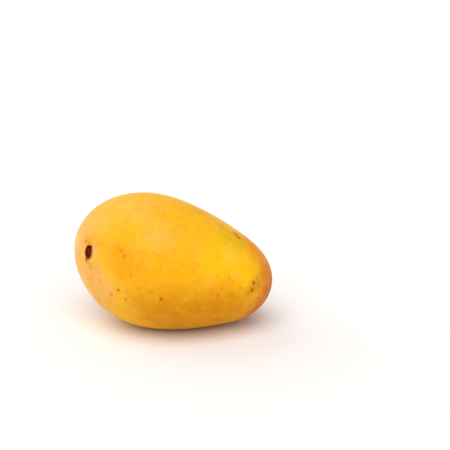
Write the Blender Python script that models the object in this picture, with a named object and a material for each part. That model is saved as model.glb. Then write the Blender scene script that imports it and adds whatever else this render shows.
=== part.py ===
"""A whole ripe mango, as picked, with the dried stub of its stalk still in the hollow at the stem end.

Metres, +Z up. The fruit lies on one of its two flat cheeks, on a small flat spot at z = 0, and leans
so that the broad stem end is up. Its tip points to +X and its ventral edge to -Y.
"""

import math

import bmesh
import bpy
from mathutils import Matrix, Vector

# Size of the fruit along its own axes: stem end to tip, edge to edge and cheek to cheek
LENGTH = 0.110
WIDTH = 0.0828
THICKNESS = 0.069

# Outline of the two edges and of the two cheeks, as power series of the place along the fruit,
# which runs from -1 at the stem end to +1 at the tip
EDGE_SHAPE = (1.0, -0.13, -0.06, 0.065)
CHEEK_SHAPE = (1.0, -0.275, 0.05, 0.195)
VENTRAL_SWELL = 0.03
OBLIQUE_STEM_END = 0.245

# How the fruit lies
TILT_DEG = 13.2
REST_SPOT_DEPTH = 0.0009

# Where the stalk grew: degrees round from the stem end towards the ventral edge, and degrees up
STALK_PLACE = (23.5, 3.0)

# Dents and swellings of the skin: degrees round, degrees up, radius, height
STALK_HOLLOW = (*STALK_PLACE, 0.0065, -0.0013)
VALLEY_BELOW_STALK = (31.0, -9.0, 0.0050, -0.0004)
VALLEY_END = (39.0, -14.0, 0.0065, -0.0003)
BEAK = (142.0, 12.0, 0.0080, 0.0006)
RELIEF = (STALK_HOLLOW, VALLEY_BELOW_STALK, VALLEY_END, BEAK)
UNEVENNESS = 0.00015
NORMAL_STEP = 0.01

# The stalk stub and the socket that it sits in
STUB_RADIUS = 0.0033
STUB_HEIGHT = 0.0020
STUB_EDGE = 0.0004
STUB_CENTRE_DIP = 0.0003
SOCKET_DEPTH = 0.0020
GAP = 0.0003
CUTTER_HEIGHT = 0.0060

# Fineness of the faceted surfaces
FRUIT_SECTORS = 64
FRUIT_RINGS = 42
RING_CROWDING = 0.4
STUB_SECTORS = 36
SHARP_ANGLE_DEG = 40.0


def series(terms, along):
    """The value of a power series at a place along the fruit."""
    return sum(term * along**power for power, term in enumerate(terms))


def direction(round_deg, up_deg):
    """A unit direction: 0 degrees round is the stem end, 90 the ventral edge and 180 the tip."""
    around = math.radians(round_deg)
    up = math.radians(up_deg)
    level = math.cos(up)
    return Vector((-math.cos(around) * level, -math.sin(around) * level, math.sin(up)))


def smooth_body(unit):
    """The smooth body of the fruit at a point of the unit sphere."""
    along, across, up = unit
    edge = WIDTH / 2 * (across * series(EDGE_SHAPE, along) - VENTRAL_SWELL * across**2)
    cheek = THICKNESS / 2 * up * series(CHEEK_SHAPE, along)
    lean = OBLIQUE_STEM_END * edge * ((1 - along) / 2) ** 2
    return Vector((LENGTH / 2 * along - lean, edge, cheek))


def outward(unit):
    """The outward normal of the smooth body at a point of the unit sphere."""
    first = unit.orthogonal().normalized() * NORMAL_STEP
    second = unit.cross(first)
    run = smooth_body((unit + first).normalized()) - smooth_body((unit - first).normalized())
    rise = smooth_body((unit + second).normalized()) - smooth_body((unit - second).normalized())
    return run.cross(rise).normalized()


def unevenness(unit):
    """The slight lumpiness of grown skin, as crossed waves."""
    along, across, up = unit
    broad = math.sin(6 * along + 2 * up) * math.cos(5 * across - 1)
    short = math.sin(9 * up + 4 * across + 2) * math.cos(8 * along)
    return UNEVENNESS * (broad + 0.5 * short)


def skin(unit):
    """A point of the skin: the smooth body with its unevenness, dents and swellings."""
    point = smooth_body(unit)
    moved = point + outward(unit) * unevenness(unit)
    for round_deg, up_deg, radius, height in RELIEF:
        centre = direction(round_deg, up_deg)
        reach = (point - smooth_body(centre)).length / radius
        moved += outward(centre) * height * math.exp(-reach * reach)
    return moved


def sphere_direction(point, turn):
    """Turns a point of an upright sphere so that its top pole is the stalk, with closer rings there."""
    polar = math.acos(max(-1.0, min(1.0, point.z)))
    polar -= RING_CROWDING * math.sin(polar)
    around = math.atan2(point.y, point.x)
    level = math.sin(polar)
    return turn @ Vector((level * math.cos(around), level * math.sin(around), math.cos(polar)))


def lobes(angle):
    """How far the stub's ragged outline stands out or in at an angle round the stalk."""
    return 1 + 0.05 * math.cos(3 * angle + 0.6) + 0.03 * math.cos(5 * angle + 2.0)


def turned_with_lobes(bm, profile):
    """Turns a profile of (radius, height) pairs about +Z and gives it the stub's outline."""
    corners = [bm.verts.new((radius, 0.0, height)) for radius, height in profile]
    edges = [bm.edges.new(pair) for pair in zip(corners, corners[1:])]
    bmesh.ops.spin(
        bm,
        geom=corners + edges,
        cent=(0.0, 0.0, 0.0),
        axis=(0.0, 0.0, 1.0),
        angle=math.tau,
        steps=STUB_SECTORS,
        use_merge=True,
    )
    bmesh.ops.remove_doubles(bm, verts=bm.verts, dist=1e-6)
    for vert in bm.verts:
        stretch = lobes(math.atan2(vert.co.y, vert.co.x))
        vert.co.x *= stretch
        vert.co.y *= stretch
    bmesh.ops.recalc_face_normals(bm, faces=bm.faces)


def make_object(name, bm, material, flat_faces=()):
    """An object of the bmesh in the scene, shaded smooth except on flat faces and across real edges."""
    for face in bm.faces:
        face.smooth = face not in flat_faces
    mesh = bpy.data.meshes.new(name)
    bm.to_mesh(mesh)
    bm.free()
    mesh.set_sharp_from_angle(angle=math.radians(SHARP_ANGLE_DEG))
    if material:
        mesh.materials.append(material)
    thing = bpy.data.objects.new(name, mesh)
    bpy.context.scene.collection.objects.link(thing)
    return thing


def make_material(name, colour, roughness, metallic=0.0):
    """A Principled material with a linear colour."""
    material = bpy.data.materials.new(name)
    material.use_nodes = True
    shader = material.node_tree.nodes["Principled BSDF"]
    shader.inputs["Base Color"].default_value = (*colour, 1.0)
    shader.inputs["Roughness"].default_value = roughness
    shader.inputs["Metallic"].default_value = metallic
    return material


def make_fruit():
    """The fruit on its rest spot, and the matrix that laid it there from its own axes."""
    stalk = direction(*STALK_PLACE)
    turn = Vector((0.0, 0.0, 1.0)).rotation_difference(stalk).to_matrix()
    bm = bmesh.new()
    bmesh.ops.create_uvsphere(bm, u_segments=FRUIT_SECTORS, v_segments=FRUIT_RINGS, radius=1.0)
    tilt = Matrix.Rotation(math.radians(TILT_DEG), 4, "Y")
    for vert in bm.verts:
        vert.co = tilt @ skin(sphere_direction(vert.co, turn))

    low = Vector(min(vert.co[axis] for vert in bm.verts) for axis in range(3))
    high = Vector(max(vert.co[axis] for vert in bm.verts) for axis in range(3))
    middle = (low + high) / 2
    to_floor = Matrix.Translation((-middle.x, -middle.y, -low.z - REST_SPOT_DEPTH))
    bmesh.ops.transform(bm, matrix=to_floor, verts=bm.verts)

    cut = bmesh.ops.bisect_plane(
        bm,
        geom=list(bm.verts) + list(bm.edges) + list(bm.faces),
        plane_co=(0.0, 0.0, 0.0),
        plane_no=(0.0, 0.0, -1.0),
        clear_outer=True,
    )
    rim = [item for item in cut["geom_cut"] if isinstance(item, bmesh.types.BMEdge)]
    rest_spot = bmesh.ops.edgeloop_fill(bm, edges=rim)["faces"]
    bmesh.ops.recalc_face_normals(bm, faces=bm.faces)
    material = make_material("mango skin", (0.86, 0.48, 0.03), 0.42)
    return make_object("fruit", bm, material, rest_spot), to_floor @ tilt


def stalk_frame(laid):
    """The place of the socket's floor, with +Z out along the stalk."""
    stalk = direction(*STALK_PLACE)
    out = (laid.to_3x3() @ outward(stalk)).normalized()
    floor = laid @ skin(stalk) - out * SOCKET_DEPTH
    turned = out.to_track_quat("Z", "Y").to_matrix().to_4x4()
    return Matrix.Translation(floor) @ turned


def cut_socket(fruit, frame):
    """Cuts the socket of the stalk into the fruit, one gap larger than the stub all round."""
    radius = STUB_RADIUS + GAP
    profile = [(0.0, 0.0), (radius, 0.0), (radius, CUTTER_HEIGHT), (0.0, CUTTER_HEIGHT)]
    bm = bmesh.new()
    turned_with_lobes(bm, profile)
    cutter = make_object("socket_cutter", bm, None)
    cutter.matrix_world = frame
    cutter.hide_render = True
    cutter.display_type = "WIRE"
    socket = fruit.modifiers.new("stalk socket", "BOOLEAN")
    socket.operation = "DIFFERENCE"
    socket.solver = "EXACT"
    socket.object = cutter


def make_stub(frame):
    """The dried stub of the stalk: a low lobed disc whose broken top is slightly hollow."""
    inner = STUB_RADIUS - STUB_EDGE
    profile = [
        (0.0, 0.0),
        (inner, 0.0),
        (STUB_RADIUS, STUB_EDGE),
        (STUB_RADIUS, STUB_HEIGHT - STUB_EDGE),
        (inner, STUB_HEIGHT),
        (inner / 2, STUB_HEIGHT - STUB_CENTRE_DIP),
        (0.0, STUB_HEIGHT - STUB_CENTRE_DIP),
    ]
    bm = bmesh.new()
    turned_with_lobes(bm, profile)
    material = make_material("dried stalk", (0.045, 0.012, 0.006), 0.75)
    stub = make_object("stalk_stub", bm, material)
    stub.matrix_world = frame @ Matrix.Translation((0.0, 0.0, GAP))


def main():
    for old in list(bpy.data.objects):
        bpy.data.objects.remove(old, do_unlink=True)
    fruit, laid = make_fruit()
    frame = stalk_frame(laid)
    cut_socket(fruit, frame)
    make_stub(frame)


main()
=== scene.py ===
"""Finishes the mango: its grown skin with pores and freckles, its dried stalk stub, and a plain studio."""

import math

import bmesh
import bpy
import numpy as np
from mathutils import Matrix, Vector, noise


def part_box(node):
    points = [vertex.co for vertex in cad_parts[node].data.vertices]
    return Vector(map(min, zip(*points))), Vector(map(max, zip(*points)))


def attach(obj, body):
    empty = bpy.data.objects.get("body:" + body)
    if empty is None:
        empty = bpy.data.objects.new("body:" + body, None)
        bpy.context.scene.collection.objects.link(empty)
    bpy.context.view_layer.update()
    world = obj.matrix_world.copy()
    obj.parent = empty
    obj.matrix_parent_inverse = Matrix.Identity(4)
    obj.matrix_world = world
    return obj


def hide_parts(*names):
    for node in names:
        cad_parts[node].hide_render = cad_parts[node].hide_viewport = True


bl_info = {
    "name": "Ripe Mango",
    "version": (1, 0, 0),
    "blender": (4, 5, 0),
    "location": "3D View > Sidebar > Mango",
    "description": "Finishes a ripe mango with its skin, its stalk stub and a plain studio",
    "category": "Add Mesh",
}

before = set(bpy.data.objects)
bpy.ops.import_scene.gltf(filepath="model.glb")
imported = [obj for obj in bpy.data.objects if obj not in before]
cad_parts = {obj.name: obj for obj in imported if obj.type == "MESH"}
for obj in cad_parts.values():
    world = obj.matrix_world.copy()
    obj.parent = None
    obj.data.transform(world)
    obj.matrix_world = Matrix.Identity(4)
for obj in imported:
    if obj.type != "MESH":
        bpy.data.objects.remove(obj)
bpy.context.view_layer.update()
FRUIT_LOW, FRUIT_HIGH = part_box("fruit")

BODY = "root"
MM = 0.001

# The form of the fruit, the same values as in the part's source: the outline of its edges and of its
# cheeks as power series of the place along it, from -1 at the stem end to +1 at the tip
EDGE_SHAPE = (1.0, -0.13, -0.06, 0.065)
CHEEK_SHAPE = (1.0, -0.275, 0.05, 0.195)
VENTRAL_SWELL = 0.03
OBLIQUE_STEM_END = 0.245
REST_SPOT_DEPTH = 0.0009
STALK_PLACE = (23.5, 3.0)
RELIEF = (
    (*STALK_PLACE, 0.0065, -0.0013),
    (31.0, -9.0, 0.0050, -0.0004),
    (39.0, -14.0, 0.0065, -0.0003),
    (142.0, 12.0, 0.0080, 0.0006),
)
UNEVENNESS = 0.00015
NORMAL_STEP = 0.01
STUB_RADIUS = 0.0033
SOCKET_DEPTH = 0.0020

# The finished socket: its gap round the stub, how wide its wall and how far down its floor is, how far
# the skin that belongs to it lies below the stub's foot, and the height, place and spread of its lip
SOCKET_GAP = 0.0002
SOCKET_WALL = 0.0004
SOCKET_FLOOR = 0.0016
SOCKET_REACH = 0.004
LIP_HEIGHT = 0.00018
LIP_PLACE = 0.0007
LIP_SPREAD = 0.0005

# How softly the pressed cheek bends up from the surface that the fruit lies on
PRESSED_EDGE = 0.0001

# Fineness of the finished surfaces, and in how many directions the form is sampled to find its box
SKIN_SECTORS = 360
SKIN_RINGS = 210
RING_CROWDING = 0.6
STUB_SECTORS = 96
BOX_SAMPLES = (241, 121)

# Seed of the noise that roughens the stub and its sap
STUB_SEED = 1

# The paper floor: half its side, the cells along a side, how far out it is flat, and how far its sweep
# goes out from there and up
FLOOR_REACH = 6.0
FLOOR_CELLS = 64
FLAT_REACH = 1.5
SWEEP_REACH = 3.5
SWEEP_HEIGHT = 1.2

# The soft lights: name, direction that the light comes from, strength, width as an angle in degrees
SOFTBOXES = (
    ("key_softbox", (-0.02, -0.78, 1.12), 2.25, 65.0),
    ("rim_softbox", (-0.9, 0.75, 0.8), 0.7, 60.0),
)


def linear(hex_colour):
    """An sRGB hex colour as a linear colour with alpha."""
    parts = [int(hex_colour[i : i + 2], 16) / 255 for i in (1, 3, 5)]
    curve = [p / 12.92 if p <= 0.04045 else ((p + 0.055) / 1.055) ** 2.4 for p in parts]
    return (*curve, 1.0)


# Shades beside the settings' own colours: of the skin round the stub, the bark, the wood and the sap, and
# of the studio's air
SAP_STAIN = linear("#B47A0A")
RUSTY_SKIN = linear("#A84E00")
DRY_LIP = linear("#6A2400")
SPLIT_BARK = linear("#6A1800")
BARK_DUST = linear("#8A3E10")
DRY_BARK = linear("#8E3C08")
DARK_WOOD = linear("#500C06")
OPEN_VESSEL = linear("#260300")
SAP_LUMP = linear("#6E3404")
STUDIO_AIR = linear("#FBF9F8")


def colour_property(name, description, hex_colour):
    """A colour that the user can change."""
    return bpy.props.FloatVectorProperty(
        name=name,
        description=description,
        subtype="COLOR",
        size=4,
        min=0.0,
        max=1.0,
        default=linear(hex_colour),
    )


class MangoFruitSettings(bpy.types.PropertyGroup):
    """Sizes and colours of the fruit."""

    length: bpy.props.FloatProperty(
        name="Length",
        description="From the stem end to the tip, along the fruit",
        default=0.110,
        unit="LENGTH",
    )
    width: bpy.props.FloatProperty(
        name="Width",
        description="From the ventral to the dorsal edge",
        default=0.0828,
        unit="LENGTH",
    )
    thickness: bpy.props.FloatProperty(
        name="Thickness",
        description="From cheek to cheek",
        default=0.069,
        unit="LENGTH",
    )
    tilt: bpy.props.FloatProperty(
        name="Tilt",
        description="How far the stem end leans up",
        default=math.radians(13.2),
        subtype="ANGLE",
    )
    golden: colour_property("Golden", "Ripe skin over most of the fruit", "#EBB01C")
    lemon: colour_property("Lemon", "Clear yellow skin between belly and tip", "#F1BC0E")
    amber: colour_property("Amber", "Clear amber skin of the belly", "#E8AA00")
    orange: colour_property("Orange blush", "Warm blush of the belly", "#E99A08")
    # Peach is pinkish skin, and on the rim of the stem end it is also a painted rim highlight, pale sheen
    # drawn into the colour
    peach_and_rim_sheen: colour_property("Peach", "Pinkish skin below the stalk", "#EAAE60")
    # Cream is a painted rim highlight: pale sheen drawn into the colour along the rim of the stem end
    rim_sheen: colour_property("Cream", "Palest skin, behind the stalk", "#F2C880")
    # Bloom is the pale waxy bloom, and in its zones on the upper left and the top it is also a painted
    # highlight, broad sheen drawn into the colour
    bloom_and_sheen: colour_property("Bloom", "Pale waxy skin of the raised stem end", "#E4B050")
    straw: colour_property("Straw", "Pale clear streaks above the tip", "#F0BE3C")
    # Deep orange is ripe skin, and round the tip it is also painted shade that darkens the tip's end
    deep_orange_and_shade: colour_property("Deep orange", "Ripest skin, round the tip", "#DC7E02")
    # Dull gold is the stain round the marks, and on the underside it is painted shade that darkens it
    dull_stain_and_shade: colour_property("Dull gold", "Dull ripe skin of the underside", "#C88000")
    # Rust is the colour of rusty flecks, and behind the tip it is painted shade that darkens the tip's end
    rust_and_shade: colour_property("Rust", "Sun-warmed skin behind the tip", "#B44C00")
    green: colour_property("Green shade", "The last green of the shoulders", "#D0AA00")
    olive: colour_property("Olive", "Stained skin round the corky marks", "#BE8E00")
    freckle: colour_property("Freckles", "Corky brown freckles", "#7A3400")
    pore: colour_property("Pores", "Small pale pores", "#F2C665")
    pore_spacing: bpy.props.FloatProperty(
        name="Pore spacing",
        description="Mean distance between the places that may hold a pore",
        default=0.0021,
        unit="LENGTH",
    )
    freckle_spacing: bpy.props.FloatProperty(
        name="Freckle spacing",
        description="Mean distance between the places that may hold a freckle",
        default=0.0035,
        unit="LENGTH",
    )


class MangoStalkSettings(bpy.types.PropertyGroup):
    """Sizes and colours of the dried stalk stub."""

    radius: bpy.props.FloatProperty(
        name="Radius",
        description="Mean radius of the stub",
        default=STUB_RADIUS,
        unit="LENGTH",
    )
    height: bpy.props.FloatProperty(
        name="Height",
        description="How far the stub stands above the floor of its socket",
        default=0.0021,
        unit="LENGTH",
    )
    bark: colour_property("Bark", "Dry, dark maroon bark", "#520D02")
    pith: colour_property("Pith", "Broken reddish wood in the middle", "#80261C")
    sap: colour_property("Dried sap", "Crusts of sap round the stub", "#501A00")


class MangoStageSettings(bpy.types.PropertyGroup):
    """The plain studio round the fruit."""

    floor: colour_property("Floor", "Matte pale paper", "#EFEDEC")
    aim: bpy.props.FloatVectorProperty(
        name="Aim",
        description="The point at the middle of the picture",
        subtype="TRANSLATION",
        default=(0.0287, 0.0019, 0.0554),
    )
    azimuth: bpy.props.FloatProperty(
        name="Azimuth",
        description="How far the camera stands round from the ventral side",
        default=math.radians(1.4),
        subtype="ANGLE",
    )
    elevation: bpy.props.FloatProperty(
        name="Elevation",
        description="How far the camera looks down",
        default=math.radians(15.8),
        subtype="ANGLE",
    )
    distance: bpy.props.FloatProperty(
        name="Distance",
        description="From the camera to the point that it aims at",
        default=0.576,
        unit="LENGTH",
    )
    lens: bpy.props.FloatProperty(
        name="Lens",
        description="Focal length",
        default=85.0,
        unit="CAMERA",
    )


def direction(round_deg, up_deg):
    """A unit direction: 0 degrees round is the stem end, 90 the ventral edge and 180 the tip."""
    around = math.radians(round_deg)
    up = math.radians(up_deg)
    level = math.cos(up)
    return Vector((-math.cos(around) * level, -math.sin(around) * level, math.sin(up)))


def series(terms, along):
    """The value of a power series at places along the fruit."""
    return sum(term * along**power for power, term in enumerate(terms))


def unit_rows(rows):
    """Each row scaled to a length of 1."""
    return rows / np.linalg.norm(rows, axis=1, keepdims=True)


class FruitForm:
    """The grown form of the fruit over the unit sphere, and how it lies in the row frame."""

    def __init__(self, settings):
        self.half_size = (settings.length / 2, settings.width / 2, settings.thickness / 2)
        self.turn = np.array(Matrix.Rotation(settings.tilt, 3, "Y"))
        around = np.linspace(-180, 180, BOX_SAMPLES[0])
        around, up = np.meshgrid(around, np.linspace(-89, 89, BOX_SAMPLES[1]))
        spread = [direction(r, u) for r, u in zip(around.ravel(), up.ravel())]
        tilted = self.skin(np.array(spread)) @ self.turn.T
        low = tilted.min(axis=0)
        middle = (low + tilted.max(axis=0)) / 2
        cad_middle = (FRUIT_LOW + FRUIT_HIGH) / 2
        floor = low[2] + REST_SPOT_DEPTH
        self.shift = np.array((cad_middle.x - middle[0], cad_middle.y - middle[1], -floor))

    def smooth_body(self, units):
        """The smooth body of the fruit, before its dents."""
        along, across, up = units.T
        edge = self.half_size[1] * (across * series(EDGE_SHAPE, along) - VENTRAL_SWELL * across**2)
        cheek = self.half_size[2] * up * series(CHEEK_SHAPE, along)
        lean = OBLIQUE_STEM_END * edge * ((1 - along) / 2) ** 2
        return np.stack((self.half_size[0] * along - lean, edge, cheek), axis=1)

    def outward(self, units):
        """The outward normals of the smooth body."""
        steep = np.abs(units[:, 2:3]) > 0.9
        helper = np.where(steep, (1.0, 0.0, 0.0), (0.0, 0.0, 1.0))
        first = unit_rows(np.cross(units, helper)) * NORMAL_STEP
        second = np.cross(units, first)
        run = self.smooth_body(unit_rows(units + first)) - self.smooth_body(unit_rows(units - first))
        rise = self.smooth_body(unit_rows(units + second)) - self.smooth_body(unit_rows(units - second))
        return unit_rows(np.cross(run, rise))

    def skin(self, units):
        """Points of the skin, with its unevenness, dents and swellings, in the fruit's own axes."""
        along, across, up = units.T
        broad = np.sin(6 * along + 2 * up) * np.cos(5 * across - 1)
        short = np.sin(9 * up + 4 * across + 2) * np.cos(8 * along)
        points = self.smooth_body(units)
        moved = points + self.outward(units) * (UNEVENNESS * (broad + 0.5 * short))[:, None]
        for round_deg, up_deg, radius, height in RELIEF:
            centre = np.array([direction(round_deg, up_deg)])
            reach = np.linalg.norm(points - self.smooth_body(centre), axis=1) / radius
            moved += self.outward(centre) * (height * np.exp(-reach * reach))[:, None]
        return moved

    def laid(self, points):
        """Points in the fruit's own axes, laid in the row frame."""
        return points @ self.turn.T + self.shift

    def point(self, round_deg, up_deg):
        """A point of the skin in the row frame."""
        units = np.array([direction(round_deg, up_deg)])
        return Vector(self.laid(self.skin(units))[0])

    def normal(self, round_deg, up_deg):
        """The outward normal of the skin there."""
        units = np.array([direction(round_deg, up_deg)])
        return Vector((self.outward(units) @ self.turn.T)[0])

    def stalk_frame(self):
        """The place of the socket's floor, with +Z out along the stalk and +Y uphill."""
        out = self.normal(*STALK_PLACE)
        floor = self.point(*STALK_PLACE) - out * SOCKET_DEPTH
        return Matrix.Translation(floor) @ out.to_track_quat("Z", "Y").to_matrix().to_4x4()


# The torn crest of the bark: how wavy its tear is and how far that lifts it, and the number and depth of
# its splits
TEAR_WAVES = 2.4
TEAR_HEIGHT = 0.0009
BARK_SPLITS = 22
SPLIT_DEPTH = 0.0005

# Where the torn bark of the stub stands out or in: angle round it in radians, reach in stub radii,
# spread in radians
TORN_PLACES = (
    (0.93, 0.36, 0.24),
    (0.06, -0.20, 0.34),
    (-0.88, 0.20, 0.22),
    (1.85, -0.17, 0.40),
    (-2.70, -0.08, 0.40),
)


def lobes(angle):
    """How far the stub's ragged outline stands out or in at angles round the stalk."""
    return 1 + 0.05 * np.cos(3 * angle + 0.6) + 0.03 * np.cos(5 * angle + 2.0)


def torn_outline(angle):
    """The outline of the finished stub, torn nearly straight on the belly side, between two corners."""
    outline = lobes(angle)
    for middle, reach, spread in TORN_PLACES:
        outline = outline + reach * np.exp(-(((angle - middle) / spread) ** 2))
    return outline


def plug(tree, node, inputs):
    """Sets the inputs of a node. Each is a value, or the socket or the node that feeds it."""
    live = [socket for socket in node.inputs if socket.enabled]
    for name, value in inputs.items():
        socket = live[name] if isinstance(name, int) else next(s for s in live if s.name == name)
        if isinstance(value, bpy.types.Node):
            value = next(output for output in value.outputs if output.enabled)
        if isinstance(value, bpy.types.NodeSocket):
            tree.links.new(value, socket)
        else:
            socket.default_value = value


def add(tree, kind, inputs=None, **settings):
    """Adds a node with its settings and its inputs."""
    node = tree.nodes.new(kind)
    for name, value in settings.items():
        setattr(node, name, value)
    plug(tree, node, inputs or {})
    return node


def new_material(name):
    """A new Principled material, its node tree and its shader."""
    material = bpy.data.materials.new(name)
    material.use_nodes = True
    return material, material.node_tree, material.node_tree.nodes["Principled BSDF"]


def in_millimetres(tree):
    """Object coordinates in millimetres, so that the scale of a pattern is one over its real size."""
    place = add(tree, "ShaderNodeTexCoord").outputs["Object"]
    return add(tree, "ShaderNodeMapping", {"Vector": place, "Scale": (1 / MM, 1 / MM, 1 / MM)})


def wandering(tree, place, lump, reach):
    """The place shifted by a soft noise, so that what is drawn there gets an uneven edge."""
    cloud = add(tree, "ShaderNodeTexNoise", {"Vector": place, "Scale": 1 / lump, "Detail": 2.0})
    middle = {0: cloud.outputs["Color"], 1: (0.5, 0.5, 0.5)}
    centred = add(tree, "ShaderNodeVectorMath", middle, operation="SUBTRACT")
    shift = {0: centred, 1: (reach, reach, reach), 2: place}
    return add(tree, "ShaderNodeVectorMath", shift, operation="MULTIPLY_ADD")


def round_patch(tree, place, centre, inner, outer, strength=1.0):
    """A mask that is full within the inner radius of a point and fades out at the outer one."""
    gap = add(tree, "ShaderNodeVectorMath", {0: place, 1: centre}, operation="DISTANCE")
    span = {"Value": gap, "From Min": inner, "From Max": outer, "To Min": strength, "To Max": 0.0}
    return add(tree, "ShaderNodeMapRange", span, interpolation_type="SMOOTHSTEP")


def mottling(tree, place, size, strength, seed, low=0.45, high=0.75):
    """A mask of soft blotches of a real size, where a noise is above low, and full above high."""
    lumps = {"Vector": place, "W": seed, "Scale": 1 / size, "Detail": 3.0}
    cloud = add(tree, "ShaderNodeTexNoise", lumps, noise_dimensions="4D")
    span = {"Value": cloud, "From Min": low, "From Max": high, "To Max": strength}
    return add(tree, "ShaderNodeMapRange", span, interpolation_type="SMOOTHSTEP")


def dotted(tree, place, spacing, radius, share, seed):
    """A mask of dots in cells of a real spacing. Half of the share of cells hold one, of up to the radius."""
    moved = add(tree, "ShaderNodeMapping", {"Vector": place, "Location": (seed, 2 * seed, 3 * seed)})
    cells = add(tree, "ShaderNodeTexVoronoi", {"Vector": moved, "Scale": 1 / spacing})
    chance = add(tree, "ShaderNodeSeparateColor", {0: cells.outputs["Color"]})
    largest = radius / spacing
    span = {"Value": chance, "From Min": 1 - share, "To Min": -largest, "To Max": largest}
    size = add(tree, "ShaderNodeMapRange", span)
    inside = add(tree, "ShaderNodeMath", {0: size, 1: cells}, operation="SUBTRACT")
    span = {"Value": inside, "From Min": 0.0, "From Max": 0.55 * largest}
    return add(tree, "ShaderNodeMapRange", span, interpolation_type="SMOOTHSTEP")


# A distance in mark radii that no place on the fruit has
BEYOND_ALL_MARKS = 1000.0


def nearest_mark(tree, place, form, marks):
    """How far the nearest of some single marks is, in radii of that mark."""
    nearest = BEYOND_ALL_MARKS
    for round_deg, up_deg, radius in marks:
        centre = form.point(round_deg, up_deg) / MM
        gap = add(tree, "ShaderNodeVectorMath", {0: place, 1: centre}, operation="DISTANCE")
        reach = add(tree, "ShaderNodeMath", {0: gap, 1: radius}, operation="DIVIDE")
        nearest = add(tree, "ShaderNodeMath", {0: reach, 1: nearest}, operation="MINIMUM")
    return nearest


def soft_zones(tree, place, settings, form, zones):
    """Coats for soft round zones of the skin."""
    coats = []
    for round_deg, up_deg, inner, outer, name, strength in zones:
        centre = form.point(round_deg, up_deg) / MM
        mask = round_patch(tree, place, centre, inner, outer, strength)
        coats.append((mask, getattr(settings, name)))
    return coats


def painted(tree, ground, coats):
    """Lays coats of colour over the ground colour, each through its mask."""
    colour = ground
    for mask, coat in coats:
        layer = {"Factor": mask, "A": colour, "B": coat}
        colour = add(tree, "ShaderNodeMix", layer, data_type="RGBA")
    return colour


# Soft colour zones of the skin: degrees round, degrees up, radius of full colour and of none in
# millimetres, the setting that holds the colour, strength. Some are painted highlight or painted shade, as
# noted.
ZONES = (
    (128.0, 33.0, 8.0, 24.0, "lemon", 0.9),
    (133.0, 42.0, 2.0, 10.0, "straw", 0.6),
    (52.0, 14.0, 3.0, 15.0, "orange", 0.85),
    (63.0, 10.0, 3.0, 14.0, "orange", 0.6),
    (40.0, 24.0, 4.0, 15.0, "orange", 0.30),
    (80.0, 12.0, 6.0, 24.0, "orange", 0.6),
    # Partly waxy bloom and partly painted highlight: the broad sheen of the upper left, drawn into the colour
    (8.0, 30.0, 6.0, 22.0, "bloom_and_sheen", 0.6),
    (38.0, 58.0, 5.0, 20.0, "bloom_and_sheen", 0.4),
    # The first three peach zones are a painted rim highlight along the stem end, pale sheen drawn into the
    # colour
    (4.0, 4.0, 9.0, 19.0, "peach_and_rim_sheen", 0.9),
    (12.0, -8.0, 5.0, 18.0, "peach_and_rim_sheen", 0.8),
    (38.0, -20.0, 6.0, 18.0, "peach_and_rim_sheen", 0.8),
    (30.0, 4.0, 3.0, 9.0, "peach_and_rim_sheen", 0.8),
    (92.0, 21.0, 3.0, 13.0, "amber", 0.7),
    (79.0, 18.0, 3.0, 13.0, "amber", 0.6),
    # Partly waxy bloom and partly painted highlight: broad sheen of the top, drawn into the colour
    (72.0, 43.0, 4.0, 13.0, "bloom_and_sheen", 0.5),
    (122.0, 2.0, 4.0, 15.0, "orange", 0.6),
    # Partly ripe blush and partly painted shade that darkens the tip
    (182.0, 40.0, 6.0, 18.0, "deep_orange_and_shade", 0.7),
    # The three dull gold zones of the underside are painted shade that darkens it
    (110.0, -27.0, 10.0, 26.0, "dull_stain_and_shade", 0.85),
    (85.0, -26.0, 6.0, 24.0, "dull_stain_and_shade", 0.8),
    (132.0, -20.0, 5.0, 20.0, "dull_stain_and_shade", 0.75),
    (76.0, -10.0, 1.0, 8.0, "green", 0.5),
    (146.0, 54.0, 3.0, 12.0, "green", 0.55),
    (250.0, 30.0, 8.0, 36.0, "orange", 0.6),
    (300.0, -10.0, 6.0, 30.0, "lemon", 0.6),
    (225.0, -20.0, 4.0, 26.0, "green", 0.45),
    (320.0, 35.0, 4.0, 24.0, "green", 0.3),
    (19.0, 11.0, 1.0, 6.5, "orange", 0.8),
    (30.0, -12.0, 2.0, 7.0, "peach_and_rim_sheen", 0.7),
    # Painted rim highlight: pale sheen drawn into the colour at the rim of the stem end
    (355.0, -4.0, 7.0, 15.0, "rim_sheen", 0.85),
    (10.0, -30.0, 7.0, 16.0, "rim_sheen", 0.75),
)

# The blush of the tip, which lies over the broad mottling and under the fine. It is partly ripe colour and
# partly painted shade that darkens the tip's end deep orange and rust.
TIP_BLUSH_AND_SHADE = (
    (185.0, -10.0, 18.0, 32.0, "deep_orange_and_shade", 0.90),
    (183.0, -8.0, 11.0, 27.0, "rust_and_shade", 0.85),
)

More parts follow.
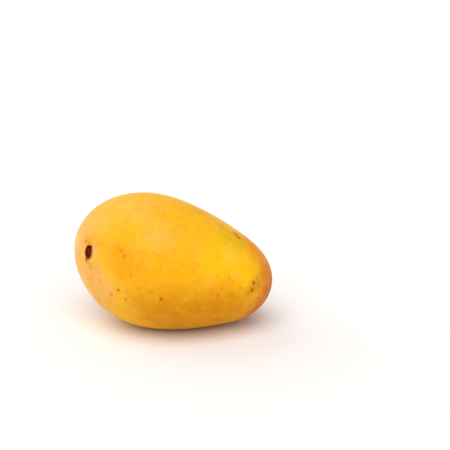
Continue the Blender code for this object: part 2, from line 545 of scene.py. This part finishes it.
# Small soft flecks, streaks and stains, in the same terms
FLECKS = (
    (21.8, 9.3, 0.8, 3.6, "rust_and_shade", 0.16),
    (51.2, 17.8, 0.3, 1.7, "rust_and_shade", 0.35),
    (54.8, 15.0, 0.4, 2.0, "rust_and_shade", 0.40),
    (59.5, 10.0, 0.2, 1.6, "olive", 0.30),
    (77.2, -4.8, 0.5, 2.6, "olive", 0.35),
    (62.0, -10.2, 0.5, 2.2, "dull_stain_and_shade", 0.35),
    (68.8, -5.2, 0.3, 1.8, "olive", 0.30),
    (29.0, -6.5, 0.8, 4.0, "dull_stain_and_shade", 0.35),
    (55.8, 55.8, 1.0, 3.6, "amber", 0.60),
    (62.0, 58.5, 1.0, 3.6, "amber", 0.60),
    (71.8, 59.0, 1.0, 4.2, "amber", 0.55),
    (68.2, 66.2, 0.5, 3.2, "amber", 0.45),
    (37.2, 66.0, 0.3, 2.2, "peach_and_rim_sheen", 0.45),
    (39.2, 57.7, 0.5, 2.6, "peach_and_rim_sheen", 0.40),
    (101.5, 31.0, 0.3, 1.6, "peach_and_rim_sheen", 0.40),
    (103.2, 38.5, 0.5, 2.2, "peach_and_rim_sheen", 0.35),
    (110.5, 14.5, 0.8, 4.0, "peach_and_rim_sheen", 0.25),
    (129.0, 38.0, 1.0, 4.5, "straw", 0.55),
    (128.5, 22.0, 0.8, 3.6, "peach_and_rim_sheen", 0.22),
    (155.0, 49.0, 1.0, 4.8, "green", 0.55),
    (132.2, 49.8, 0.4, 2.4, "green", 0.50),
    (116.7, 45.2, 0.4, 2.4, "green", 0.40),
    (162.0, 67.2, 0.5, 3.0, "olive", 0.50),
    (164.0, 55.5, 0.8, 4.0, "olive", 0.50),
    (144.5, 11.0, 1.2, 6.5, "olive", 0.55),
    (139.0, 4.5, 0.8, 5.0, "olive", 0.40),
)

# Single corky marks: degrees round, degrees up, radius in millimetres
DARK_MARKS = (
    (55.9, -12.1, 0.60),
    (50.5, -19.1, 0.50),
    (61.8, -18.2, 0.50),
    (84.4, -8.9, 0.70),
    (169.3, 57.9, 1.10),
    (164.4, 54.6, 0.95),
    (143.0, 13.6, 0.85),
    (141.6, 7.2, 0.95),
    (17.3, 8.4, 0.50),
)
FAINT_MARKS = (
    (147.8, 17.2, 0.9),
    (148.5, 13.2, 0.8),
    (139.3, 5.2, 0.9),
    (124.2, 18.5, 0.8),
    (115.5, 20.5, 0.6),
    (119.0, 8.5, 0.8),
    (132.2, 9.5, 0.8),
    (126.3, 3.2, 0.9),
    (112.5, 1.5, 0.8),
    (103.8, 1.5, 0.9),
    (117.3, 2.0, 0.7),
    (146.8, 54.2, 0.7),
    (62.5, 3.7, 0.6),
    (76.5, 20.2, 0.5),
    (74.8, 26.0, 0.5),
    (80.0, 16.8, 0.5),
    (39.2, -12.5, 0.7),
    (30.2, 12.0, 0.5),
)


def skin_material(settings, form):
    """The peel of the fruit."""
    # Ripe mango peel: a tender skin, slightly see-through, under its own thin wax. The flesh behind it
    # glows a little at the edges of the shade, and the wax gives broad, soft highlights, not a shine.
    material, tree, shader = new_material("ripe_mango_peel")
    place = in_millimetres(tree)
    drifting = wandering(tree, place, lump=14.0, reach=12.0)
    uneven = wandering(tree, place, lump=1.3, reach=0.9)

    coats = soft_zones(tree, drifting, settings, form, ZONES)

    # Mottling: patches as broad as a thumb, blotches of 9 to 3 mm, and the 2 mm grain of the peel.
    # The waxy bloom lies on the stem end and thins out towards the tip.
    waxy = round_patch(tree, place, form.point(15.0, 25.0) / MM, inner=12.0, outer=70.0)
    patches = mottling(tree, place, size=14.0, strength=0.36, seed=1.0)
    blotches = mottling(tree, place, size=3.2, strength=0.35, seed=8.0)
    patches = add(tree, "ShaderNodeMath", {0: patches, 1: waxy}, operation="MULTIPLY")
    blotches = add(tree, "ShaderNodeMath", {0: blotches, 1: waxy}, operation="MULTIPLY")
    coats += [
        (patches, settings.bloom_and_sheen),
        (mottling(tree, place, size=9.0, strength=0.35, seed=4.0), settings.deep_orange_and_shade),
    ]
    # The blush of the tip, partly painted shade
    coats += soft_zones(tree, drifting, settings, form, TIP_BLUSH_AND_SHADE)
    coats += [
        (mottling(tree, place, size=4.5, strength=0.30, seed=7.0), settings.lemon),
        (blotches, settings.peach_and_rim_sheen),
        (mottling(tree, place, size=2.0, strength=0.25, seed=9.0), settings.deep_orange_and_shade),
    ]

    # Growth streaks along the fruit, about 2 mm wide and 11 to 15 mm long
    lengthwise = {"Vector": place, "Rotation": (0.0, -settings.tilt, 0.0), "Scale": (0.15, 1.0, 1.0)}
    along = add(tree, "ShaderNodeMapping", lengthwise)
    coats += [
        (mottling(tree, along, size=2.2, strength=0.18, seed=2.0), settings.golden),
        (mottling(tree, along, size=1.6, strength=0.16, seed=5.0), settings.orange),
    ]

    # Pale pores of up to 0.7 mm all over, and corky freckles of up to 1.1 mm in loose groups on the dorsal
    # side. The ventral side has its single marks instead.
    pores = dotted(tree, place, settings.pore_spacing / MM, radius=0.48, share=1.0, seed=11.0)
    pore_coat = add(tree, "ShaderNodeMath", {0: pores, 1: 0.55}, operation="MULTIPLY")
    freckles = dotted(tree, uneven, settings.freckle_spacing / MM, radius=0.75, share=0.8, seed=5.0)
    groups = mottling(tree, place, size=22.0, strength=0.75, seed=3.0, low=0.36, high=0.56)
    dorsal = round_patch(tree, place, form.point(270.0, 5.0) / MM, inner=42.0, outer=66.0)
    groups = add(tree, "ShaderNodeMath", {0: groups, 1: dorsal}, operation="MULTIPLY")
    freckle_coat = add(tree, "ShaderNodeMath", {0: freckles, 1: groups}, operation="MULTIPLY")
    coats += [(pore_coat, settings.pore), (freckle_coat, settings.freckle)]

    # Flecks and stains, and the corky marks that stand out one by one, each with a faint dull halo.
    # The dark marks come last, because their cork is raised further down.
    coats += soft_zones(tree, uneven, settings, form, FLECKS)
    for marks, strength, stain in ((FAINT_MARKS, 0.20, 0.10), (DARK_MARKS, 0.8, 0.40)):
        reach = nearest_mark(tree, uneven, form, marks)
        halo = {"Value": reach, "From Min": 0.8, "From Max": 3.0, "To Min": stain, "To Max": 0.0}
        spot = {"Value": reach, "From Min": 0.3, "From Max": 1.6, "To Min": strength, "To Max": 0.0}
        halo = add(tree, "ShaderNodeMapRange", halo, interpolation_type="SMOOTHSTEP")
        cork = add(tree, "ShaderNodeMapRange", spot, interpolation_type="SMOOTHSTEP")
        coats += [(halo, settings.dull_stain_and_shade), (cork, settings.freckle)]

    # The dry lip of the socket, rusty on the side of the belly, and an olive stain of sap below it
    socket = form.stalk_frame()
    middle, belly_side, below = (
        socket @ Vector((right, up, SOCKET_DEPTH)) / MM
        for right, up in ((0.0, 0.0), (0.0008, -0.0003), (0.0002, -0.0052))
    )
    lip = round_patch(tree, uneven, middle, inner=3.0, outer=3.9)
    rusty = round_patch(tree, uneven, belly_side, inner=3.3, outer=4.7, strength=0.9)
    stain = round_patch(tree, uneven, below, inner=0.5, outer=3.0, strength=0.6)
    coats += [(stain, SAP_STAIN), (rusty, RUSTY_SKIN), (lip, DRY_LIP)]

    # Satin wax, rubbed in patches, and no shine on the dry lip
    worn = mottling(tree, place, size=6.0, strength=1.0, seed=6.0, low=0.30, high=0.70)
    rough = add(tree, "ShaderNodeMapRange", {"Value": worn, "To Min": 0.42, "To Max": 0.54})
    rough = add(tree, "ShaderNodeMath", {0: rough, 1: lip}, operation="MAXIMUM")

    # Relief: dimples 7 mm across, the leathery grain drawn at 0.9 mm so that it shows, and the raised
    # cork and sunken pores. Each row is a height, its strength and its depth in millimetres.
    dimples = add(tree, "ShaderNodeTexNoise", {"Vector": place, "Scale": 1 / 7.0})
    grain = add(tree, "ShaderNodeTexNoise", {"Vector": place, "Scale": 1 / 0.9})
    corky = add(tree, "ShaderNodeMath", {0: cork, 1: freckle_coat}, operation="MAXIMUM")
    dots = add(tree, "ShaderNodeMath", {0: corky, 1: pores}, operation="SUBTRACT")
    relief = None
    for height, strength, depth in ((dimples, 1.0, 0.22), (grain, 0.5, 0.03), (dots, 0.7, 0.05)):
        bump = {"Height": height, "Strength": strength, "Distance": depth * MM}
        if relief:
            bump["Normal"] = relief
        relief = add(tree, "ShaderNodeBump", bump)

    finish = {
        "Base Color": painted(tree, settings.golden, coats),
        "Roughness": rough,
        "Normal": relief,
        "IOR": 1.38,
        "Specular IOR Level": 0.12,
        "Subsurface Weight": 0.30,
        "Subsurface Radius": (1.0, 0.42, 0.12),
        "Subsurface Scale": 0.003,
    }
    plug(tree, shader, finish)
    return material


def bark_material(settings, socket):
    """The bark of the stub."""
    # Dried stalk bark: dark maroon, matt and finely split along its fibres, and drier and rusty on the
    # side of the belly, where it is torn straight
    material, tree, shader = new_material("dried_stalk_bark")
    place = in_millimetres(tree)
    split = mottling(tree, place, size=0.5, strength=1.0, seed=1.0)
    dust = mottling(tree, place, size=0.8, strength=0.4, seed=2.0, low=0.60, high=0.80)
    # A patch centred 12 mm out on the belly side, whose edge crosses the bark nearly straight
    belly_side = socket @ Vector((0.012, 0.0, SOCKET_DEPTH)) / MM
    dry = round_patch(tree, place, belly_side, inner=9.9, outer=11.0, strength=0.9)
    rift = add(tree, "ShaderNodeBump", {"Height": split, "Strength": 0.8, "Distance": 0.2 * MM})
    colour = painted(tree, settings.bark, [(split, SPLIT_BARK), (dust, BARK_DUST), (dry, DRY_BARK)])
    finish = {"Base Color": colour, "Roughness": 0.92, "Specular IOR Level": 0.05, "Normal": rift}
    plug(tree, shader, finish)
    return material


def pith_material(settings):
    """The broken wood of the stub."""
    # Stalk wood: reddish, broken across, with the open ends of its fine vessels as dark dots. They are
    # drawn 0.35 mm apart, coarser than the real ones, so that they show.
    material, tree, shader = new_material("broken_stalk_wood")
    place = in_millimetres(tree)
    vessels = dotted(tree, place, spacing=0.35, radius=0.14, share=1.0, seed=3.0)
    tone = mottling(tree, place, size=1.0, strength=1.0, seed=3.0, low=0.40, high=0.70)
    sunken = {"Height": vessels, "Strength": 0.7, "Distance": 0.1 * MM}
    holes = add(tree, "ShaderNodeBump", sunken, invert=True)
    colour = painted(tree, settings.pith, [(tone, DARK_WOOD), (vessels, OPEN_VESSEL)])
    finish = {"Base Color": colour, "Roughness": 0.85, "Specular IOR Level": 0.08, "Normal": holes}
    plug(tree, shader, finish)
    return material


def sap_material(settings):
    """The crusts of sap round the stub."""
    # Dried mango sap: dark brown, lumpy crusts, a little less matt than the bark
    material, tree, shader = new_material("dried_sap_crust")
    place = in_millimetres(tree)
    lumps = mottling(tree, place, size=0.6, strength=1.0, seed=1.5, low=0.40, high=0.70)
    crust = add(tree, "ShaderNodeBump", {"Height": lumps, "Strength": 0.6, "Distance": 0.2 * MM})
    colour = painted(tree, settings.sap, [(lumps, SAP_LUMP)])
    finish = {"Base Color": colour, "Roughness": 0.60, "Specular IOR Level": 0.10, "Normal": crust}
    plug(tree, shader, finish)
    return material


def paper_material(settings):
    """The floor of the studio."""
    # Matte studio paper: even and without a shine, with a faint tooth
    material, tree, shader = new_material("matte_studio_paper")
    place = in_millimetres(tree)
    tooth = mottling(tree, place, size=1.5, strength=1.0, seed=1.0, low=0.30, high=0.70)
    relief = add(tree, "ShaderNodeBump", {"Height": tooth, "Strength": 0.1, "Distance": 0.1 * MM})
    finish = {"Base Color": settings.floor, "Roughness": 0.9, "Specular IOR Level": 0.2, "Normal": relief}
    plug(tree, shader, finish)
    return material


def make_piece(name, bm, material):
    """A smooth-shaded object of the bmesh, at the origin."""
    for face in bm.faces:
        face.smooth = True
    mesh = bpy.data.meshes.new(name)
    bm.to_mesh(mesh)
    bm.free()
    mesh.materials.append(material)
    piece = bpy.data.objects.new(name, mesh)
    bpy.context.scene.collection.objects.link(piece)
    return piece


def build_skin(form, material):
    """The fruit: a fine sphere whose top pole is the stalk, grown into the fruit's form."""
    bm = bmesh.new()
    bmesh.ops.create_uvsphere(bm, u_segments=SKIN_SECTORS, v_segments=SKIN_RINGS, radius=1.0)
    ball = np.array([vert.co for vert in bm.verts])
    polar = np.arccos(np.clip(ball[:, 2], -1, 1))
    polar -= RING_CROWDING * np.sin(polar)
    around = np.arctan2(ball[:, 1], ball[:, 0])
    level = np.sin(polar)
    upright = np.stack((level * np.cos(around), level * np.sin(around), np.cos(polar)), axis=1)
    turn = Vector((0.0, 0.0, 1.0)).rotation_difference(direction(*STALK_PLACE)).to_matrix()
    points = form.laid(form.skin(upright @ np.array(turn).T))

    # The socket round the stub: a low raised lip and then a steep wall down to its floor
    socket = form.stalk_frame()
    local = (points - np.array(socket.translation)) @ np.array(socket.to_3x3())
    reach = np.hypot(local[:, 0], local[:, 1])
    outline = STUB_RADIUS * torn_outline(np.arctan2(local[:, 1], local[:, 0]))
    wall = np.clip((outline + SOCKET_GAP - reach) / SOCKET_WALL, 0, 1)
    depth = wall * wall * (3 - 2 * wall) * SOCKET_FLOOR
    lip = LIP_HEIGHT * np.exp(-(((reach - outline - LIP_PLACE) / LIP_SPREAD) ** 2))
    raised = np.where(local[:, 2] > -SOCKET_REACH, lip - depth, 0)
    points += np.outer(raised, np.array(socket.col[2][:3]))

    # The cheek pressed flat where it rests, with a soft edge
    points[:, 2] = (points[:, 2] + np.sqrt(points[:, 2] ** 2 + PRESSED_EDGE**2)) / 2
    for vert, point in zip(bm.verts, points):
        vert.co = point
    return make_piece("mango_skin", bm, material)


def turned(profile, sectors):
    """A profile of (radius, height) pairs turned about +Z, closed where it meets the axis."""
    bm = bmesh.new()
    corners = [bm.verts.new((radius, 0.0, height)) for radius, height in profile]
    edges = [bm.edges.new(pair) for pair in zip(corners, corners[1:])]
    bmesh.ops.spin(
        bm,
        geom=corners + edges,
        cent=(0.0, 0.0, 0.0),
        axis=(0.0, 0.0, 1.0),
        angle=math.tau,
        steps=sectors,
        use_merge=True,
    )
    bmesh.ops.remove_doubles(bm, verts=bm.verts, dist=1e-7)
    bmesh.ops.recalc_face_normals(bm, faces=bm.faces)
    return bm


def roughen(bm, grain, strength, shift):
    """Moves each vertex by a noise with lumps of a real size. The shift makes two passes differ."""
    for vert in bm.verts:
        vert.co += noise.noise_vector(vert.co / grain + Vector((shift, 0, 0))) * strength


def build_bark(settings, socket, material):
    """The ring of split bark, higher than the hollow inside it, with a torn outline and crest."""
    radius = settings.radius
    height = settings.height
    profile = (
        (0.0, 0.0),
        (radius * 0.99, 0.0),
        (radius * 1.03, height * 0.45),
        (radius * 1.01, height * 0.85),
        (radius * 0.93, height * 1.05),
        (radius * 0.82, height * 1.10),
        (radius * 0.70, height * 0.98),
        (radius * 0.60, height * 0.80),
        (0.0, height * 0.74),
    )
    bm = turned(profile, STUB_SECTORS)
    # The tear grows from the shoulder of the ring up and dies out over the hollow
    for vert in bm.verts:
        angle = math.atan2(vert.co.y, vert.co.x)
        reach = math.hypot(vert.co.x, vert.co.y)
        crest = max(0.0, vert.co.z / height - 0.6) * min(1.0, reach / (radius * 0.6))
        torn = noise.noise(Vector((math.cos(angle) * TEAR_WAVES, math.sin(angle) * TEAR_WAVES, 3.0)))
        split = abs(math.sin(angle * BARK_SPLITS / 2 + 2 * torn)) ** 6
        vert.co.z += crest * (TEAR_HEIGHT * torn - SPLIT_DEPTH * split)
        stretch = float(torn_outline(angle)) * (1 + 0.03 * torn)
        vert.co.x *= stretch
        vert.co.y *= stretch
    roughen(bm, grain=0.0006, strength=0.00006, shift=1.0)
    bm.transform(socket)
    return make_piece("stalk_bark", bm, material)


def build_pith(settings, socket, material):
    """The broken wood in the middle: a low dome, torn and slightly off the centre."""
    radius = settings.radius * 0.50
    height = settings.height
    profile = (
        (0.0, height * 0.55),
        (radius * 0.95, height * 0.55),
        (radius, height * 0.78),
        (radius * 0.85, height * 0.93),
        (radius * 0.55, height * 1.0),
        (radius * 0.25, height * 0.95),
        (0.0, height * 0.90),
    )
    bm = turned(profile, STUB_SECTORS // 2)
    roughen(bm, grain=0.0011, strength=0.00022, shift=5.0)
    roughen(bm, grain=0.0004, strength=0.00010, shift=8.0)
    narrow = Matrix.Diagonal((0.75, 1.15, 1.0, 1.0))
    bm.transform(socket @ Matrix.Translation((-0.0003, 0.0001, 0.0)) @ narrow)
    return make_piece("stalk_pith", bm, material)


# Crusts of dried sap: angle round the stub in degrees, distance from its middle in stub radii,
# length outwards, width and thickness in millimetres
SAP_CRUSTS = (
    (-98.0, 1.18, 2.3, 1.3, 0.45),
    (-60.0, 1.10, 1.0, 1.1, 0.35),
    (-150.0, 0.96, 0.9, 1.8, 0.40),
    (50.0, 1.27, 0.8, 0.9, 0.35),
    (120.0, 0.90, 0.7, 1.5, 0.30),
)


def build_sap(settings, socket, material):
    """Small crusts of sap that dried over the socket's lip, the longest at its lower end."""
    bm = bmesh.new()
    for number, (angle_deg, reach, length, width, thick) in enumerate(SAP_CRUSTS):
        # A ball 1 across, dented by its own part of the noise and then scaled to the crust's size
        lump = bmesh.ops.create_icosphere(bm, subdivisions=4, radius=0.5)["verts"]
        for vert in lump:
            vert.co += noise.noise_vector(vert.co * 3.0 + Vector((number * 7.0, 0, 0))) * 0.16
        turn = Matrix.Rotation(math.radians(angle_deg), 4, "Z")
        size = Matrix.Diagonal((length * MM, width * MM, thick * MM, 1.0))
        # A crust further out lies a little higher, up the slope of the hollow
        lift = SOCKET_DEPTH + 0.0012 * (reach - 0.9)
        move = Matrix.Translation((reach * settings.radius, 0.0, lift))
        bmesh.ops.transform(bm, matrix=socket @ turn @ move @ size, verts=lump)
    bmesh.ops.recalc_face_normals(bm, faces=bm.faces)
    return make_piece("sap_crusts", bm, material)


def build_stage(settings):
    """The paper floor, which sweeps up all round, the soft lights and the camera."""
    bm = bmesh.new()
    bmesh.ops.create_grid(bm, x_segments=FLOOR_CELLS, y_segments=FLOOR_CELLS, size=FLOOR_REACH)
    for vert in bm.verts:
        rise = min(1.0, max(0.0, (vert.co.length - FLAT_REACH) / SWEEP_REACH))
        vert.co.z = SWEEP_HEIGHT * rise * rise * (3 - 2 * rise)
    floor = make_piece("studio_floor", bm, paper_material(settings))

    world = bpy.data.worlds.new("pale_studio")
    world.use_nodes = True
    tree = world.node_tree
    # The room is brighter on the side of the stem end
    across = add(tree, "ShaderNodeSeparateXYZ", {0: add(tree, "ShaderNodeTexCoord")})
    fading = {"Value": across, "From Min": -1.0, "To Min": 0.72, "To Max": 0.28}
    wall = add(tree, "ShaderNodeMapRange", fading)
    plug(tree, tree.nodes["Background"], {"Color": STUDIO_AIR, "Strength": wall})
    bpy.context.scene.world = world

    for name, source, strength, width in SOFTBOXES:
        lamp = bpy.data.lights.new(name, "SUN")
        lamp.energy = strength
        lamp.angle = math.radians(width)
        light = bpy.data.objects.new(name, lamp)
        light.rotation_mode = "QUATERNION"
        light.rotation_quaternion = Vector(source).to_track_quat("Z", "Y")
        bpy.context.scene.collection.objects.link(light)

    lens = bpy.data.cameras.new("photo_camera")
    lens.lens = settings.lens
    lens.clip_start = 0.01
    lens.clip_end = 50.0
    camera = bpy.data.objects.new("photo_camera", lens)
    level = math.cos(settings.elevation)
    side = math.sin(settings.azimuth) * level
    front = -math.cos(settings.azimuth) * level
    back = Vector((side, front, math.sin(settings.elevation)))
    camera.location = Vector(settings.aim) + back * settings.distance
    camera.rotation_mode = "QUATERNION"
    camera.rotation_quaternion = back.to_track_quat("Z", "Y")
    bpy.context.scene.collection.objects.link(camera)
    bpy.context.scene.camera = camera
    bpy.context.scene.view_settings.view_transform = "Standard"


class MANGO_OT_grow_fruit(bpy.types.Operator):
    """Grow the fruit and its freckled skin"""

    bl_idname = "mango.grow_fruit"
    bl_label = "Grow Fruit"
    bl_options = {"REGISTER", "UNDO"}

    def execute(self, context):
        settings = context.scene.mango_fruit
        form = FruitForm(settings)
        skin = build_skin(form, skin_material(settings, form))
        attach(skin, BODY)
        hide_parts("fruit")
        return {"FINISHED"}


class MANGO_OT_set_stalk(bpy.types.Operator):
    """Set the dried stalk stub into its socket"""

    bl_idname = "mango.set_stalk"
    bl_label = "Set Stalk Stub"
    bl_options = {"REGISTER", "UNDO"}

    def execute(self, context):
        settings = context.scene.mango_stalk
        socket = FruitForm(context.scene.mango_fruit).stalk_frame()
        # Without a seed, noise_vector is shifted by the time of day
        noise.seed_set(STUB_SEED)
        pieces = (
            build_bark(settings, socket, bark_material(settings, socket)),
            build_pith(settings, socket, pith_material(settings)),
            build_sap(settings, socket, sap_material(settings)),
        )
        for piece in pieces:
            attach(piece, BODY)
            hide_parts("stalk_stub")
        return {"FINISHED"}


class MANGO_OT_light_stage(bpy.types.Operator):
    """Lay the floor, hang the softboxes and place the camera"""

    bl_idname = "mango.light_stage"
    bl_label = "Light Stage"
    bl_options = {"REGISTER", "UNDO"}

    def execute(self, context):
        build_stage(context.scene.mango_stage)
        return {"FINISHED"}


class VIEW3D_PT_mango(bpy.types.Panel):
    """Lists the steps that finish the mango"""

    bl_label = "Mango"
    bl_idname = "VIEW3D_PT_mango"
    bl_space_type = "VIEW_3D"
    bl_region_type = "UI"
    bl_category = "Mango"

    def draw(self, context):
        for settings, operator in (
            (context.scene.mango_fruit, MANGO_OT_grow_fruit),
            (context.scene.mango_stalk, MANGO_OT_set_stalk),
            (context.scene.mango_stage, MANGO_OT_light_stage),
        ):
            box = self.layout.box()
            for name in settings.bl_rna.properties.keys():
                if name not in ("rna_type", "name"):
                    box.prop(settings, name)
            box.operator(operator.bl_idname)


SETTINGS = {
    "mango_fruit": MangoFruitSettings,
    "mango_stalk": MangoStalkSettings,
    "mango_stage": MangoStageSettings,
}
OPERATORS = (MANGO_OT_grow_fruit, MANGO_OT_set_stalk, MANGO_OT_light_stage)


def register():
    """Makes the settings, the operators and the panel known to Blender."""
    for kind in (*SETTINGS.values(), *OPERATORS, VIEW3D_PT_mango):
        bpy.utils.register_class(kind)
    for name, kind in SETTINGS.items():
        setattr(bpy.types.Scene, name, bpy.props.PointerProperty(type=kind))


def unregister():
    """Takes them out again, in the opposite order."""
    for name in SETTINGS:
        delattr(bpy.types.Scene, name)
    for kind in (VIEW3D_PT_mango, *reversed(OPERATORS), *SETTINGS.values()):
        bpy.utils.unregister_class(kind)


def main():
    """Finishes the part."""
    register()
    bpy.ops.mango.grow_fruit()
    bpy.ops.mango.set_stalk()
    bpy.ops.mango.light_stage()


if __name__ == "__main__":
    main()
